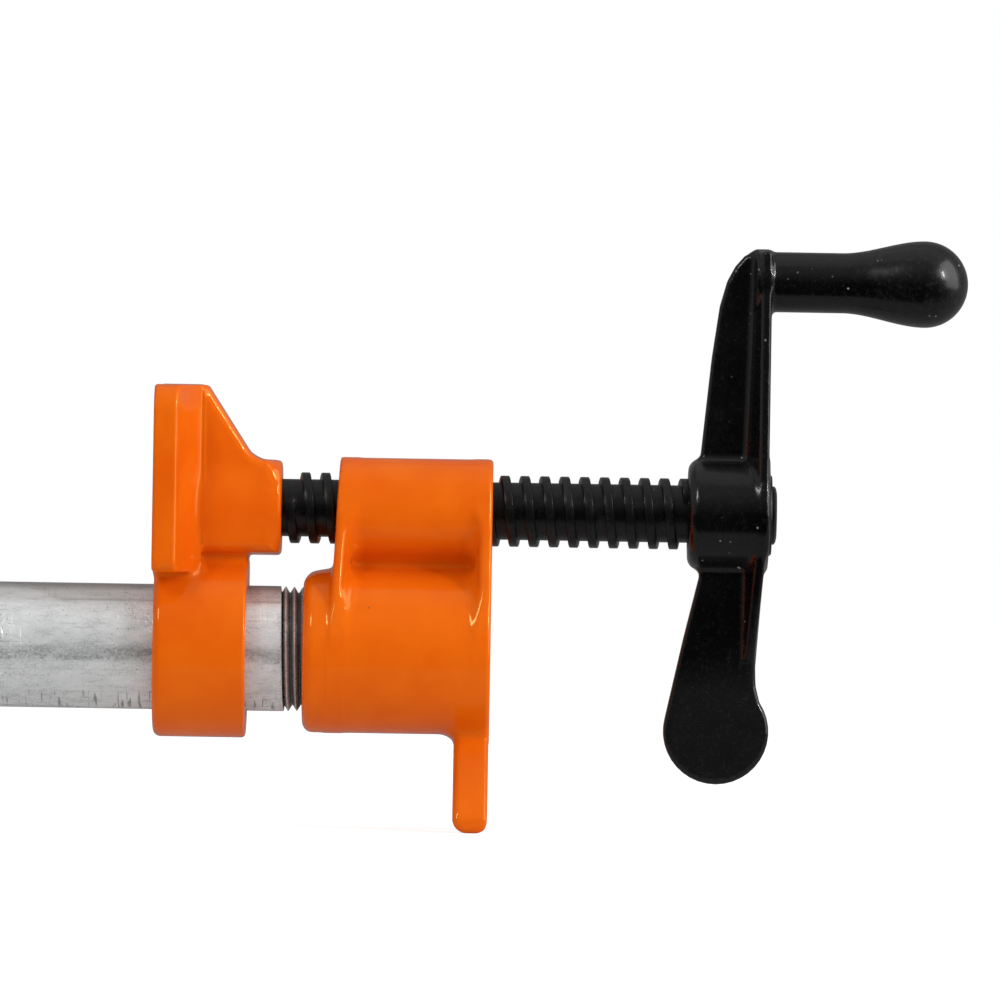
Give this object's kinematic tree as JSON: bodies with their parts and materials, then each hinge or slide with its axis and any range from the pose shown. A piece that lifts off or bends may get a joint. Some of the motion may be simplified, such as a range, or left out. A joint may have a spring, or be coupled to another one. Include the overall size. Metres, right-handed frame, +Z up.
{
  "type": "pipe clamp",
  "caption": "Woodworking pipe clamp: crank screw head with sliding jaw on a threaded steel pipe, and a sliding tail stop with a spring-loaded plate clutch.",
  "frame": {"origin": "on the pipe's axis, in the plane of the mouth of the head's pipe socket", "axes": "+X along the pipe towards the crank, +Z up, from the pipe's axis towards the screw"},
  "size_m": [0.4298, 0.044, 0.1269],
  "materials": {
    "orange_enamel": "glossy orange enamel on cast iron",
    "black_enamel": "glossy black enamel on cast iron",
    "black_steel": "black oxide, lightly oiled",
    "galvanised_steel": "galvanised, with bare cut threads",
    "zinc_steel": "zinc plated, stamped",
    "plain_steel": "plain, greased",
    "spring_steel": "drawn spring wire"
  },
  "bodies": {
    "head": {"pipe": "galvanised_steel", "head_casting": "orange_enamel"},
    "jaw": {"jaw_casting": "orange_enamel"},
    "screw": {"screw": "black_steel", "crank_casting": "black_enamel", "rivet_washer": "black_steel", "thrust_washer": "plain_steel", "nose_washer": "plain_steel", "retaining_ring": "spring_steel"},
    "tail": {"tail_casting": "orange_enamel", "clutch_spring": "spring_steel"},
    "plate_1": {"clutch_plate_1": "zinc_steel"},
    "plate_2": {"clutch_plate_2": "zinc_steel"},
    "plate_3": {"clutch_plate_3": "zinc_steel"},
    "plate_4": {"clutch_plate_4": "zinc_steel"}
  },
  "joints": [
    {"name": "jaw_slide", "type": "slide", "parent": "head", "child": "jaw", "axis": [1, 0, 0], "range_m": [-0.036, 0.01101]},
    {"name": "crank_turn", "type": "hinge", "parent": "jaw", "child": "screw", "pos_m": [0, 0, 0.03], "axis": [1, 0, 0], "range_deg": [-3060, 936]},
    {"name": "tail_slide", "type": "slide", "parent": "head", "child": "tail", "axis": [1, 0, 0], "range_m": [-0.048, 0.12]},
    {"name": "plates_release", "type": "hinge", "parent": "tail", "child": "plate_4", "pos_m": [-0.22085, 0, 0.0274], "axis": [0, 1, 0], "range_deg": [0, 8], "stiffness_Nm_per_rad": 1.5, "springref_deg": -8.59, "deforming": ["clutch_spring"]},
    {"name": "plate_1_release", "type": "hinge", "parent": "tail", "child": "plate_1", "pos_m": [-0.2126, 0, 0.0274], "axis": [0, 1, 0], "range_deg": [0, 8]},
    {"name": "plate_2_release", "type": "hinge", "parent": "tail", "child": "plate_2", "pos_m": [-0.21535, 0, 0.0274], "axis": [0, 1, 0], "range_deg": [0, 8]},
    {"name": "plate_3_release", "type": "hinge", "parent": "tail", "child": "plate_3", "pos_m": [-0.2181, 0, 0.0274], "axis": [0, 1, 0], "range_deg": [0, 8]}
  ],
  "couplings": [
    {"joint": "jaw_slide", "follows": "crank_turn", "m_per_rad": 0.0006737},
    {"joint": "plate_1_release", "follows": "plates_release", "ratio": 1},
    {"joint": "plate_2_release", "follows": "plates_release", "ratio": 1},
    {"joint": "plate_3_release", "follows": "plates_release", "ratio": 1}
  ]
}
